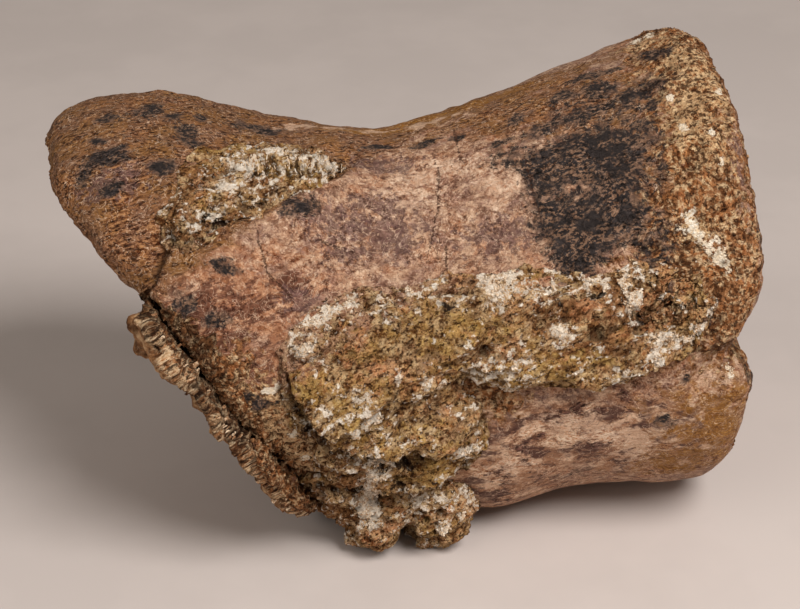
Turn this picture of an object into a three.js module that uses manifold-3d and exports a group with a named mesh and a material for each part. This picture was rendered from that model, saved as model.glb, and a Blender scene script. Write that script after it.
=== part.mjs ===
// A fossil theropod tail vertebra lying on one side. The centrum is a waisted spool with one whole
// articular end and one worn end that a slanting break cuts off. The neural arch has broken away, and rock
// matrix covers its place on the side that faces -Y. Millimetres, +Z up, X from worn end to whole end.

import * as THREE from "three";
import { ImprovedNoise } from "three/addons/math/ImprovedNoise.js";
import { mergeVertices } from "three/addons/utils/BufferGeometryUtils.js";
import Module from "manifold-3d";

const wasm = await Module();
wasm.setup();

// Driving dimensions of the spool. An angle round it is in degrees: 0 faces -Y and 90 faces up.
const AXIS_HEIGHT = 42.5;
const WAIST_X = -1.5;
const WORN_FLARE_X = -38;
const WHOLE_FLARE_X = 55;
const WHOLE_FACE_X = 61;
const EAR_TIP_X = -61.3;
const WHOLE_DISH = 5;
const WORN_DISH = 1.5;
const FLARE_SOFTNESS = 0.16;
const GAP = 0.3;
const STUMP_CLEARANCE = 0.45;

// Radius at the worn end, the waist and the whole end, every 60 degrees round the spool from 0.
const GIRTHS = [
  { worn: 38.5, waist: 33, whole: 43 },
  { worn: 37, waist: 30, whole: 43 },
  { worn: 37.5, waist: 27.8, whole: 43.5 },
  { worn: 38, waist: 28, whole: 42 },
  { worn: 42, waist: 33, whole: 42.5 },
  { worn: 46, waist: 40, whole: 42.5 },
];

// Slanting planes: where each crosses the axis, and how far it moves per millimetre of Y and of height.
const BREAK = { x: -44.8, perY: -0.116, perZ: -0.594 };
const EAR_STEP = { x: -26, perY: 1.22, perZ: 1.106 };
const EAR_CUT = { x: -40.5, perY: 0.468, perZ: 0.45 };
const WHOLE_CUT = { x: 43, perY: 0, perZ: 0 };

// The step down to the ear: its depth and slope, the angles it fades over and where it starts along X.
const STEP = { depth: 2.5, rise: 3.5, facing: 62, full: 32, gone: 58, startX: -10, fullX: -22 };

// Rounding of the two ends, and how far the ear stands back from the plane of the break.
const WORN_ROLL = { length: 16, depth: 6.5 };
const WHOLE_ROLL = { length: 6, depth: 5 };
const EAR_SET_BACK = 3.9;

// Notches in the rim of the whole end, one short and one broad, and the groove along the far side.
const NOTCHES = [
  { angle: 6, wide: 9, depth: 3.6 },
  { angle: -24, wide: 26, depth: 1.6 },
];
const NOTCH_REACH = 6;
const KEEL_GROOVE = { angle: 180, wide: 14, depth: 2.2 };

// Low swellings of the bone: the one it rests on under its far side, and one low on its near side.
const SWELLINGS = [
  { x: -4, angle: 254, long: 13, wide: 20, high: 9.2 },
  { x: 16, angle: -58, long: 10, wide: 22, high: 4 },
];

// The fibrous plate along the break: a ridged slab on a thinner neck, which leaves a groove.
const PLATE = {
  thickness: 6,
  neck: 1.8,
  groove: 3.5,
  ridge: 1.4,
  ridgePitch: 3.2,
  ridgeStretch: 3,
  faceShare: 0.3,
  slabShare: 0.75,
  facing: -42,
  recess: 15,
  recessFrom: 62,
  recessTo: 100,
};
const PLATE_ROLL = { length: 2, depth: 1 };

// Blots of matrix on the bone: centre, half length along X, half width in degrees, and depth.
const ARCH_MATRIX = [
  { x: 15, angle: 12, long: 34, wide: 17, deep: 5.5 },
  { x: 39, angle: 16, long: 12, wide: 13, deep: 4 },
  { x: -8, angle: 2, long: 17, wide: 26, deep: 6 },
  { x: -3, angle: -22, long: 16, wide: 20, deep: 5 },
];
const STUMP_MATRIX = [
  { x: -7, angle: -55, long: 8, wide: 15, deep: 9.5 },
  { x: 3.5, angle: -54, long: 8, wide: 16, deep: 9.6 },
  { x: -15, angle: -52, long: 8, wide: 16, deep: 5 },
];
const POCKET_MATRIX = [
  { x: -20, angle: 71, long: 12, wide: 13, deep: 1.2 },
  { x: -30, angle: 62, long: 8, wide: 15, deep: 0.8 },
  { x: -37, angle: 49, long: 5.5, wide: 9, deep: 0.8 },
];
const MATRIX_SINK = 3;
const MATRIX_EDGE = { halfWidth: 1.6, share: 0.55, fullAt: 0.7 };

// Relief of the surfaces: height, and size of the features.
const BONE_RELIEF = { height: 0.5, size: 13 };
const RIM_RELIEF = { height: 1, size: 7, from: 36, to: 50 };
const MATRIX_RELIEF = { height: 1.5, size: 7 };

// Steps of the moulded surfaces, round and along, the share of the steps along for each end face,
// and how much the steps between them crowd towards the ends.
const BONE_STEPS = { round: 64, along: 50 };
const PLATE_STEPS = { round: 110, along: 12 };
const FACE_SHARE = 0.16;
const END_CROWDING = 0.5;
const BREAK_PASSES = 4;
const MERGE_WITHIN = 1e-3;
const REACH = 400;

const { degToRad, euclideanModulo, smoothstep, lerp, clamp } = THREE.MathUtils;
const noise = new ImprovedNoise();

const girthCurve = new THREE.CatmullRomCurve3(
  GIRTHS.map((girth) => new THREE.Vector3(girth.worn, girth.waist, girth.whole)),
  true,
);

function girthAt(angle) {
  return girthCurve.getPoint(euclideanModulo(angle, 360) / 360);
}

function onSpool(x, angle, radius) {
  const turned = degToRad(angle);
  return new THREE.Vector3(x, -radius * Math.cos(turned), AXIS_HEIGHT + radius * Math.sin(turned));
}

function degreesApart(first, second) {
  return euclideanModulo(first - second + 180, 360) - 180;
}

function bell(share) {
  return Math.exp(-share * share);
}

function relief(point, { height, size }) {
  return height * noise.noise(point.x / size, point.y / size, point.z / size);
}

// Where a slanting plane lies at a radius and angle, and how far past it, towards +X, a point is.
function planeX(plane, angle, radius) {
  const place = onSpool(0, angle, radius);
  return plane.x + plane.perY * place.y + plane.perZ * (place.z - AXIS_HEIGHT);
}

function pastPlane(plane, point) {
  const along = point.x - plane.x - plane.perY * point.y - plane.perZ * (point.z - AXIS_HEIGHT);
  return along / Math.hypot(1, plane.perY, plane.perZ);
}

// How far a profile has flared, 0 at the waist and 1 at the end, with a soft bend at the waist.
function flare(share) {
  const soft = FLARE_SOFTNESS;
  const reached = clamp(share, 0, 1);
  return (Math.hypot(reached, soft) - soft) / (Math.hypot(1, soft) - soft);
}

// How much the edge of an end is rounded off, a distance in from it.
function rolled(distance, { length, depth }) {
  const share = 1 - clamp(distance / length, 0, 1);
  return depth * (1 - Math.sqrt(1 - share * share));
}

function endsAt(angle) {
  const slant = planeX(BREAK, angle, girthAt(angle).x) + EAR_SET_BACK;
  const notch = NOTCHES.reduce(
    (sum, { angle: facing, wide, depth }) => sum + depth * bell(degreesApart(angle, facing) / wide),
    0,
  );
  return { worn: Math.max(slant, EAR_TIP_X), whole: WHOLE_FACE_X - notch, notch };
}

function plainRadius(x, angle) {
  const girth = girthAt(angle);
  const worn = x < WAIST_X;
  const reach = worn ? WORN_FLARE_X : WHOLE_FLARE_X;
  return lerp(girth.y, worn ? girth.x : girth.z, flare((x - WAIST_X) / (reach - WAIST_X)));
}

// The ear stands lower than the middle of the bone, with the step along a slanting line.
function earStep(x, angle, radius) {
  const past = pastPlane(EAR_STEP, onSpool(x, angle, radius));
  const upper = 1 - smoothstep(Math.abs(degreesApart(angle, STEP.facing)), STEP.full, STEP.gone);
  const along = smoothstep(-x, -STEP.startX, -STEP.fullX);
  return STEP.depth * smoothstep(-past, 0, STEP.rise) * along * upper;
}

function swollen(x, angle) {
  return SWELLINGS.reduce((sum, { x: middle, angle: facing, long, wide, high }) => {
    const around = degreesApart(angle, facing) / wide;
    return sum + high * bell((x - middle) / long) * bell(around);
  }, 0);
}

function boneRadius(x, angle) {
  const radius = plainRadius(x, angle);
  const keel = bell(degreesApart(angle, KEEL_GROOVE.angle) / KEEL_GROOVE.wide);
  const base = onSpool(x, angle, radius);
  const rough = smoothstep(x, RIM_RELIEF.from, RIM_RELIEF.to);
  return (
    radius -
    earStep(x, angle, radius) +
    swollen(x, angle) -
    KEEL_GROOVE.depth * keel +
    relief(base, BONE_RELIEF) +
    rough * relief(base, RIM_RELIEF)
  );
}

// One point of the bone, from the middle of the worn end (along = 0) to that of the whole end (along = 1).
// swellAt tells how far the surface stands out from the bone at a place.
function bonePoint(around, along, swellAt) {
  const angle = around * 360;
  const ends = endsAt(angle);
  const side = clamp((along - FACE_SHARE) / (1 - 2 * FACE_SHARE), 0, 1);
  const eased = lerp(side, (1 - Math.cos(Math.PI * side)) / 2, END_CROWDING);
  const x = lerp(ends.worn, ends.whole, eased);
  const swell = swellAt(x, angle);
  const round = rolled(x - ends.worn, WORN_ROLL) + rolled(ends.whole - x, WHOLE_ROLL);
  const radius = boneRadius(x, angle) - round + swell;
  const inFace = Math.min(along, 1 - along) / FACE_SHARE;
  if (inFace >= 1) return onSpool(x, angle, radius);
  if (along < FACE_SHARE) {
    const middle = BREAK.x + EAR_SET_BACK + WORN_DISH;
    return onSpool(lerp(middle, x, inFace * inFace) - swell, angle, radius * inFace);
  }
  const dished = WHOLE_FACE_X - WHOLE_DISH * (1 - inFace * inFace);
  const faceX = dished - ends.notch * Math.pow(inFace, NOTCH_REACH) + swell;
  return onSpool(faceX, angle, radius * inFace);
}

// How far matrix stands out from the bone: below its surface away from the blots.
function matrixDepth(blots, swell, x, angle) {
  const { halfWidth, share, fullAt } = MATRIX_EDGE;
  const radius = plainRadius(x, angle);
  let depth = -MATRIX_SINK;
  for (const blot of blots) {
    const wide = degToRad(blot.wide) * radius;
    const apart = degToRad(degreesApart(angle, blot.angle)) * radius;
    const inside = 1 - Math.hypot((x - blot.x) / blot.long, apart / wide);
    const distance = inside * Math.min(blot.long, wide) + swell;
    const body = blot.deep * lerp(share, 1, smoothstep(inside, 0, fullAt)) + swell;
    depth = Math.max(depth, lerp(-MATRIX_SINK, body, smoothstep(distance, -halfWidth, halfWidth)));
  }
  const step = earStep(x, angle, radius);
  const rough = relief(onSpool(x, angle, radius), MATRIX_RELIEF);
  return depth + step + rough * smoothstep(depth, -MATRIX_SINK, 1);
}

// Radius of the spool where the plane of the break, moved in by a distance, meets its side.
function radiusAtBreak(angle, inwards) {
  let radius = girthAt(angle).x;
  for (let pass = 0; pass < BREAK_PASSES; pass++) {
    radius = plainRadius(planeX(BREAK, angle, radius) + inwards, angle);
  }
  return radius;
}

// One point of the plate, from the middle of its broken face (along = 0) to that of its inner face.
function platePoint(around, along) {
  const angle = around * 360;
  const { thickness, neck, groove, ridge, ridgePitch, faceShare, slabShare } = PLATE;
  const { facing, recess, recessFrom, recessTo, ridgeStretch } = PLATE;
  const across = clamp((along - faceShare) / (1 - 2 * faceShare), 0, 1);
  const onNeck = across > slabShare;
  const slab = thickness - neck;
  const inwards = onNeck
    ? lerp(slab, thickness, (across - slabShare) / (1 - slabShare))
    : lerp(0, slab, across / slabShare);
  const away = Math.abs(degreesApart(angle, facing));
  const side = radiusAtBreak(angle, inwards) - recess * smoothstep(away, recessFrom, recessTo);
  const grain = onSpool(inwards, angle, side).divideScalar(ridgePitch);
  const ridges = ridge * noise.noise(grain.x / ridgeStretch, grain.y, grain.z) - rolled(inwards, PLATE_ROLL);
  const radius = side + (onNeck ? -groove : ridges);
  const inFace = clamp(Math.min(along, 1 - along) / faceShare, 0, 1);
  const rough = along < faceShare ? relief(onSpool(0, angle, radius * inFace), RIM_RELIEF) : 0;
  return onSpool(planeX(BREAK, angle, radius * inFace) + inwards + rough, angle, radius * inFace);
}

// A ball whose surface is moved point by point: place(around, along) gives where each point goes.
function moulded(steps, place) {
  const ball = new THREE.SphereGeometry(1, steps.round, steps.along);
  const { position, uv } = ball.attributes;
  for (let i = 0; i < position.count; i++) {
    const row = Math.round((1 - uv.getY(i)) * steps.along);
    const pole = row === 0 || row === steps.along;
    const moved = place(pole ? 0 : uv.getX(i), row / steps.along);
    position.setXYZ(i, moved.x, moved.y, moved.z);
  }
  return solidOf(ball);
}

function solidOf(geometry) {
  const bare = new THREE.BufferGeometry();
  bare.setAttribute("position", geometry.toNonIndexed().attributes.position);
  const merged = mergeVertices(bare, MERGE_WITHIN);
  return new wasm.Manifold(
    new wasm.Mesh({
      numProp: 3,
      vertProperties: merged.attributes.position.array,
      triVerts: new Uint32Array(merged.index.array),
    }),
  );
}

// Everything more than a distance past a slanting plane towards +X, as a large box.
function pastBox(plane, distance) {
  const normal = new THREE.Vector3(1, -plane.perY, -plane.perZ).normalize();
  const foot = new THREE.Vector3(plane.x, 0, AXIS_HEIGHT);
  const box = new THREE.BoxGeometry(REACH, REACH, REACH);
  box.applyQuaternion(new THREE.Quaternion().setFromUnitVectors(new THREE.Vector3(1, 0, 0), normal));
  const middle = foot.addScaledVector(normal, distance + REACH / 2);
  box.translate(middle.x, middle.y, middle.z);
  return solidOf(box);
}

const aboveFloor = solidOf(new THREE.BoxGeometry(REACH, REACH, REACH).translate(0, 0, REACH / 2));

// The largest closed surface of a solid, above the floor.
function kept(solid) {
  const pieces = solid.intersect(aboveFloor).decompose();
  return pieces.reduce((best, piece) => (piece.volume() > best.volume() ? piece : best));
}

const bone = moulded(BONE_STEPS, (around, along) => bonePoint(around, along, () => 0));
const boneAndGap = moulded(BONE_STEPS, (around, along) => bonePoint(around, along, () => GAP));
const pastPlate = pastBox({ ...BREAK, x: BREAK.x + PLATE.thickness }, GAP);

function matrixOn(blots, swell) {
  const place = (x, angle) => matrixDepth(blots, swell, x, angle);
  return moulded(BONE_STEPS, (around, along) => bonePoint(around, along, place));
}

const stump = matrixOn(STUMP_MATRIX, 0);
const stumpAndGap = matrixOn(STUMP_MATRIX, STUMP_CLEARANCE);

const SOLIDS = {
  worn_end: bone.subtract(pastBox(EAR_CUT, -GAP / 2)),
  centrum: bone
    .intersect(pastBox(EAR_CUT, GAP / 2))
    .intersect(pastPlate)
    .subtract(pastBox(WHOLE_CUT, -GAP / 2)),
  whole_end: bone.intersect(pastBox(WHOLE_CUT, GAP / 2)),
  break_plate: moulded(PLATE_STEPS, platePoint).intersect(pastBox(EAR_CUT, GAP)),
  arch_matrix: matrixOn(ARCH_MATRIX, 0).subtract(boneAndGap).subtract(stumpAndGap).intersect(pastPlate),
  process_stump: stump.subtract(boneAndGap).intersect(pastPlate),
  pocket_matrix: matrixOn(POCKET_MATRIX, 0).subtract(boneAndGap),
};

const COLOURS = {
  worn_end: 0x8a5f3c,
  centrum: 0x9a7350,
  whole_end: 0x94683f,
  break_plate: 0x8d7455,
  arch_matrix: 0x8c7442,
  process_stump: 0x7d6647,
  pocket_matrix: 0xa78e62,
};

const vertebra = new THREE.Group();
for (const [name, solid] of Object.entries(SOLIDS)) {
  const { vertProperties, triVerts } = kept(solid).getMesh();
  const geometry = new THREE.BufferGeometry();
  geometry.setAttribute("position", new THREE.BufferAttribute(vertProperties, 3));
  geometry.setIndex(new THREE.BufferAttribute(triVerts, 1));
  const material = new THREE.MeshStandardMaterial({ color: COLOURS[name], roughness: 0.8, metalness: 0 });
  const mesh = new THREE.Mesh(geometry, material);
  mesh.name = name;
  vertebra.add(mesh);
}

// The origin is under the middle of the whole piece, on the floor.
const box = new THREE.Box3().setFromObject(vertebra);
const middle = box.getCenter(new THREE.Vector3());
vertebra.position.set(-middle.x, -middle.y, -box.min.z);

export default vertebra;
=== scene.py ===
import math

import bmesh
import bpy
import numpy as np
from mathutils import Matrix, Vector, noise
from mathutils.bvhtree import BVHTree


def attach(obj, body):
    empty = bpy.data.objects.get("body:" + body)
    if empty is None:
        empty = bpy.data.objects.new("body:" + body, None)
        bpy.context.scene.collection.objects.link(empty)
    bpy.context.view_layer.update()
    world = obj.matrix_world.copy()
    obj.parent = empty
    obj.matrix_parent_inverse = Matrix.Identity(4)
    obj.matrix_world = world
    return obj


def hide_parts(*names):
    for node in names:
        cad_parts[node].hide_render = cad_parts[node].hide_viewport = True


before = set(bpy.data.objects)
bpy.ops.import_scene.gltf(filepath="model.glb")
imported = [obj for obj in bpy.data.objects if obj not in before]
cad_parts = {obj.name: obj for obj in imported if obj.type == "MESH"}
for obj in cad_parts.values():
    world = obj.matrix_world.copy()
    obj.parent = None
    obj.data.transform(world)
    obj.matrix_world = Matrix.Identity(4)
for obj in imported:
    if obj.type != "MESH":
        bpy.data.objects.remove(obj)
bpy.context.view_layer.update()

mm = 0.001  # sizes and places below are in millimetres
floorGap = 0.02
rng = np.random.default_rng(71)

# The bone is a spool along X. A place on it is given by x and by the angle round its axis:
# 0 degrees faces the front (-Y), 90 is up and 180 is the far side.
spool = dict(axisY=1.86, axisZ=42.5, arcPerDegree=0.66)


def spoolPlace(points):
    back = points[:, 1] - spool["axisY"]
    up = points[:, 2] - spool["axisZ"]
    return points[:, 0], np.degrees(np.arctan2(up, -back))


def ramp(low, high, value):
    step = np.clip((value - low) / (high - low), 0, 1)
    return step * step * (3 - 2 * step)


def arcFrom(angle, middle):
    return ((angle - middle + 180) % 360 - 180) * spool["arcPerDegree"]


def fractal(points, size, octaves=4, seed=0, stretch=(1, 1, 1)):
    places = points / (size * np.array(stretch)) + 37.3 * seed
    return np.array([noise.fractal(place, 1.0, 2.0, octaves) for place in places.tolist()])


def hollows(points, size, seed=0):
    places = points / size + 21.7 * seed
    nearest = np.array([noise.voronoi(place)[0][0] for place in places.tolist()])
    return ramp(0.55, 0.15, nearest)


# A mark is x, angle, half length along X, half width round the bone and its lean in degrees.
# Marked areas run from 1 in their middles through 0.5 at their edges to 0.
def marked(x, angle, marks):
    amount = np.zeros(len(x))
    for markX, markAngle, long, wide, *lean in marks:
        turn = math.radians(lean[0] if lean else 0)
        along = x - markX
        around = arcFrom(angle, markAngle)
        first = (along * math.cos(turn) + around * math.sin(turn)) / long
        second = (around * math.cos(turn) - along * math.sin(turn)) / wide
        amount = np.maximum(amount, 1 - np.hypot(first, second) / 2)
    return np.clip(amount, 0, 1)


def lineDistance(x, angle, route):
    nearest = np.full(len(x), 1e3)
    for (fromX, fromAngle), (toX, toAngle) in zip(route, route[1:]):
        run = np.array([toX - fromX, (toAngle - fromAngle) * spool["arcPerDegree"]])
        offset = np.stack([x - fromX, arcFrom(angle, fromAngle)], 1)
        step = np.clip(offset @ run / (run @ run), 0, 1)
        gap = offset - step[:, None] * run
        side = np.sign(run[0] * offset[:, 1] - run[1] * offset[:, 0])
        distance = np.hypot(gap[:, 0], gap[:, 1])
        nearest = np.where(distance < np.abs(nearest), distance * side, nearest)
    return nearest


def fenced(x, angle, outline, edge):
    inside = np.zeros(len(x), bool)
    around = arcFrom(angle, outline[0][1])
    corners = [(cornerX, (corner - outline[0][1]) * spool["arcPerDegree"]) for cornerX, corner in outline]
    for (fromX, fromArc), (toX, toArc) in zip(corners, corners[1:] + corners[:1]):
        crosses = (fromArc > around) != (toArc > around)
        rise = (toArc - fromArc) or 1e-9
        inside ^= crosses & (x < fromX + (toX - fromX) * (around - fromArc) / rise)
    distance = np.abs(lineDistance(x, angle, outline + outline[:1]))
    return np.clip(0.5 + np.where(inside, distance, -distance) / edge, 0, 1)


# Copies of the CAD nodes, merged, remeshed finely and then worked over point by point
def remeshed(names, voxel, swell, smoothing):
    shape = bmesh.new()
    for name in names:
        shape.from_mesh(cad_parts[name].data)
    bmesh.ops.remove_doubles(shape, verts=shape.verts, dist=0.01 * mm)
    shape.normal_update()
    for vert in shape.verts:
        vert.co += vert.normal * swell * mm
    rough = bpy.data.meshes.new("rough")
    shape.to_mesh(rough)
    shape.free()
    holder = bpy.data.objects.new("rough", rough)
    bpy.context.scene.collection.objects.link(holder)
    voxels = holder.modifiers.new("voxels", "REMESH")
    voxels.mode = "VOXEL"
    voxels.voxel_size = voxel * mm
    soften = holder.modifiers.new("soften", "SMOOTH")
    soften.iterations = smoothing
    soften.factor = 0.5
    depsgraph = bpy.context.evaluated_depsgraph_get()
    mesh = bpy.data.meshes.new_from_object(holder.evaluated_get(depsgraph))
    bpy.data.objects.remove(holder)
    bpy.data.meshes.remove(rough)
    return mesh


def pointsOf(mesh, what="co"):
    values = np.zeros(len(mesh.vertices) * 3, np.float32)
    mesh.vertices.foreach_get(what, values)
    values = values.reshape(-1, 3).astype(float)
    return values / mm if what == "co" else values


def unit(vectors):
    return vectors / np.linalg.norm(vectors, axis=1)[:, None]


def moved(mesh, points):
    mesh.vertices.foreach_set("co", (points * mm).astype(np.float32).ravel())
    mesh.update()


def raised(mesh, height):
    points = pointsOf(mesh) + pointsOf(mesh, "normal") * height[:, None]
    points[:, 2] = np.maximum(points[:, 2], floorGap)  # nothing sinks into the floor
    moved(mesh, points)


def painted(mesh, **layers):
    for name, values in layers.items():
        layer = mesh.attributes.new(name, "FLOAT", "POINT")
        layer.data.foreach_set("value", np.asarray(values, np.float32))


def placed(name, mesh, material, nodes=(), smooth=True):
    mesh.name = name
    mesh.materials.clear()
    mesh.materials.append(material)
    mesh.polygons.foreach_set("use_smooth", np.full(len(mesh.polygons), smooth))
    piece = bpy.data.objects.new(name, mesh)
    bpy.context.scene.collection.objects.link(piece)
    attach(piece, "root")
    if nodes:
        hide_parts(*nodes)
    mesh.calc_loop_triangles()
    print(f"{name}: {len(mesh.loop_triangles)} triangles")


# Node helpers: a socket is linked, any other value is set
def wired(tree, kind, sockets=None, **settings):
    made = tree.nodes.new(kind)
    for key, value in settings.items():
        setattr(made, key, value)
    for key, value in (sockets or {}).items():
        if isinstance(value, bpy.types.NodeSocket):
            tree.links.new(value, made.inputs[key])
        else:
            made.inputs[key].default_value = value
    return made


def tint(red, green, blue):
    shares = [part / 255 for part in (red, green, blue)]
    linear = [share / 12.92 if share <= 0.04 else ((share + 0.055) / 1.055) ** 2.4 for share in shares]
    return (*linear, 1.0)


def worked(tree, operation, first, second, third=0.0):
    sockets = {0: first, 1: second, 2: third}
    return wired(tree, "ShaderNodeMath", sockets, operation=operation).outputs[0]


def times(tree, first, second):
    return worked(tree, "MULTIPLY", first, second)


def blended(tree, factor, first, second, way="MIX"):
    sockets = {0: factor, 6: first, 7: second}
    return wired(tree, "ShaderNodeMix", sockets, data_type="RGBA", blend_type=way).outputs[2]


def noisy(tree, vector, scale, detail=5.0, rough=0.6, twist=0.0, gain=2.5):
    sockets = {"Vector": vector, "Scale": scale, "Detail": detail, "Roughness": rough, "Distortion": twist}
    plain = wired(tree, "ShaderNodeTexNoise", sockets).outputs["Fac"]
    return worked(tree, "MULTIPLY_ADD", plain, gain, 0.5 - 0.5 * gain)  # spread out round its middle, 0.5


def ramped(tree, factor, stops):
    made = wired(tree, "ShaderNodeValToRGB", {"Fac": factor})
    bands = made.color_ramp.elements
    while len(bands) < len(stops):
        bands.new(0.5)
    for band, (position, colour) in zip(bands, stops):
        band.position = position
        band.color = colour
    return made.outputs["Color"]


def summed(tree, *parts):
    total = None
    for socket, share in parts:
        term = times(tree, socket, share)
        total = term if total is None else worked(tree, "ADD", total, term)
    return total


# Noises that vary round 0.5, each by its share
def mixed(tree, *parts):
    sockets = {0: summed(tree, *parts), 1: 0.5 - 0.5 * sum(share for socket, share in parts)}
    return wired(tree, "ShaderNodeMath", sockets, operation="ADD", use_clamp=True).outputs[0]


# Thin lines where a noise passes its middle
def veined(tree, vector, scale, width):
    away = worked(tree, "SUBTRACT", noisy(tree, vector, scale, 2.0, 0.55, 1.2), 0.5)
    return stepped(tree, worked(tree, "ABSOLUTE", away, 0.0), width, 0.2 * width)


def stepped(tree, value, low, high):
    sockets = {"Value": value, "From Min": low, "From Max": high}
    return wired(tree, "ShaderNodeMapRange", sockets, interpolation_type="SMOOTHSTEP").outputs["Result"]


def turned(tree, vector, tilt):
    sockets = {"Vector": vector, "Angle": tilt}
    return wired(tree, "ShaderNodeVectorRotate", sockets, rotation_type="Y_AXIS").outputs[0]


def layerOf(tree, name):
    return wired(tree, "ShaderNodeAttribute", attribute_name=name).outputs["Fac"]


def newGroup(name, inputs, outputs):
    tree = bpy.data.node_groups.new(name, "ShaderNodeTree")
    for label, kind in inputs:
        tree.interface.new_socket(label, in_out="INPUT", socket_type=kind)
    for label in outputs:
        tree.interface.new_socket(label, in_out="OUTPUT", socket_type="NodeSocketFloat")
    return tree, tree.nodes.new("NodeGroupInput").outputs, tree.nodes.new("NodeGroupOutput").inputs


def groupNode(tree, group, **sockets):
    return wired(tree, "ShaderNodeGroup", sockets, node_tree=group).outputs


def drawnOut(tree, vector, length):
    sockets = {"X": worked(tree, "DIVIDE", 1.0, length), "Y": 1.0, "Z": 1.0}
    squeeze = wired(tree, "ShaderNodeCombineXYZ", sockets).outputs[0]
    return wired(tree, "ShaderNodeVectorMath", {0: vector, 1: squeeze}, operation="MULTIPLY").outputs[0]


# An amount torn up by noise, which Length draws out along the bone's fibres
def raggedStain():
    inputs = [("Vector", "NodeSocketVector")]
    inputs += [(label, "NodeSocketFloat") for label in ("Amount", "Scale", "Length", "Tear", "Edge")]
    tree, given, out = newGroup("ragged stain", inputs, ["Mask"])
    torn = noisy(tree, drawnOut(tree, given["Vector"], given["Length"]), given["Scale"], 4.0, 0.66)
    torn = times(tree, worked(tree, "SUBTRACT", torn, 0.5), given["Tear"])
    torn = worked(tree, "ADD", torn, given["Amount"])
    low = worked(tree, "SUBTRACT", 0.5, given["Edge"])
    high = worked(tree, "ADD", 0.5, given["Edge"])
    sockets = {0: given["Amount"], 1: 6.0}
    some = wired(tree, "ShaderNodeMath", sockets, operation="MULTIPLY", use_clamp=True).outputs[0]
    tree.links.new(times(tree, stepped(tree, torn, low, high), some), out["Mask"])
    return tree


# Long streaks that follow the bone's fibres
def boneFibre():
    inputs = [("Vector", "NodeSocketVector"), ("Scale", "NodeSocketFloat"), ("Length", "NodeSocketFloat")]
    tree, given, out = newGroup("bone fibre", inputs, ["Tone"])
    along = drawnOut(tree, given["Vector"], given["Length"])
    tree.links.new(noisy(tree, along, given["Scale"], 4.0, 0.7), out["Tone"])
    return tree


# Packed grains: their rounded height and the painted shade of the gaps between
def packedGrains():
    inputs = [("Vector", "NodeSocketVector"), ("Scale", "NodeSocketFloat")]
    tree, given, out = newGroup("packed grains", inputs, ["Height", "GapShade"])
    sockets = {"Vector": given["Vector"], "Scale": 1.1, "Detail": 3.0}
    jitter = wired(tree, "ShaderNodeTexNoise", sockets).outputs["Color"]
    sockets = {0: jitter, 1: (0.9, 0.9, 0.9), 2: given["Vector"]}
    shaken = wired(tree, "ShaderNodeVectorMath", sockets, operation="MULTIPLY_ADD").outputs[0]
    cells = wired(tree, "ShaderNodeTexVoronoi", {"Vector": shaken, "Scale": given["Scale"]})
    tree.links.new(worked(tree, "SUBTRACT", 1.0, cells.outputs["Distance"]), out["Height"])
    tree.links.new(stepped(tree, cells.outputs["Distance"], 0.5, 0.85), out["GapShade"])
    return tree


stainGroup = raggedStain()
fibreGroup = boneFibre()
grainGroup = packedGrains()


def newMaterial(name, roughness=0.75):
    material = bpy.data.materials.new(name)
    material.use_nodes = True
    tree = material.node_tree
    shader = tree.nodes["Principled BSDF"]
    shader.inputs["Roughness"].default_value = roughness
    shader.inputs["Specular IOR Level"].default_value = 0.1
    place = wired(tree, "ShaderNodeTexCoord").outputs["Object"]
    place = wired(tree, "ShaderNodeVectorMath", {0: place, "Scale": 1 / mm}, operation="SCALE").outputs[0]
    return material, tree, shader, place


def bumped(tree, shader, height, strength):
    sockets = {"Height": height, "Strength": strength, "Distance": mm}
    tree.links.new(wired(tree, "ShaderNodeBump", sockets).outputs["Normal"], shader.inputs["Normal"])


# Coats of stain, one over the other. A coat's amount is a painted layer or a plain share of the noise,
# its size is that of its patches in millimetres, and it can stay within an earlier coat.
coatDefaults = dict(tear=1.0, edge=0.14, length=1.0, lower=0.0, within=None)
coatShift = (17.3, 5.9, 11.7)  # moves each coat's noise away from that of the coat before


def coat(amount, size, strength, colour, **changes):
    return dict(coatDefaults, amount=amount, size=size, strength=strength, colour=colour, **changes)


def coated(tree, place, colour, coats):
    masks = {}
    colour = tint(*colour)
    for number, (name, stain) in enumerate(coats.items()):
        shift = tuple(part * number for part in coatShift)
        shifted = wired(tree, "ShaderNodeVectorMath", {0: place, 1: shift}).outputs[0]
        amount = stain["amount"]
        if isinstance(amount, str):
            amount = worked(tree, "SUBTRACT", layerOf(tree, amount), stain["lower"])
        mask = groupNode(
            tree, stainGroup, Amount=amount, Vector=shifted, Scale=1 / stain["size"],
            Length=stain["length"], Tear=stain["tear"], Edge=stain["edge"])["Mask"]
        if stain["within"]:
            mask = times(tree, mask, masks[stain["within"]])
        masks[name] = mask
        colour = blended(tree, times(tree, mask, stain["strength"]), colour, tint(*stain["colour"]))
    return colour, masks


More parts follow.
